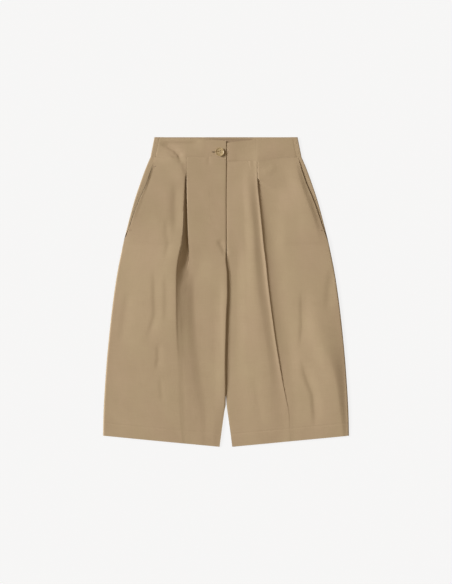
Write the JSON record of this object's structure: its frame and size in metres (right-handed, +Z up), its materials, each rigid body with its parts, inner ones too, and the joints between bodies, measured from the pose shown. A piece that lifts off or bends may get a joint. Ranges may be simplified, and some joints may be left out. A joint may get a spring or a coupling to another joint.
{
  "type": "high-waisted pleated shorts, laid flat",
  "caption": "Wide knee-length shorts with a high fitted waistband, one deep pleat on each front, slanted side pockets and a buttoned fly, laid flat on their back.",
  "frame": {"origin": "on the surface the garment lies on, under the middle of its box", "axes": "+Z up from the surface and out of the fronts, +Y to the waist, +X to the wearer's left"},
  "size_m": [0.553, 0.696, 0.0137],
  "materials": {
    "cloth": "matt plain-woven cotton and linen",
    "band_cloth": "the same cloth, folded over a stiffener",
    "pocket_cloth": "matt plain-woven cotton",
    "horn": "polished, mottled like horn",
    "thread": "wound sewing thread"
  },
  "bodies": {
    "root": {"front_right": "cloth", "front_left": "cloth", "back_right": "cloth", "back_left": "cloth", "pocket_right": "pocket_cloth", "pocket_left": "pocket_cloth", "waistband_back": "band_cloth", "waistband_right_centre": "band_cloth", "waistband_right_side": "band_cloth", "waistband_left_centre": "band_cloth", "waistband_left_side": "band_cloth", "button": "horn", "button_shank": "thread"}
  },
  "joints": []
}
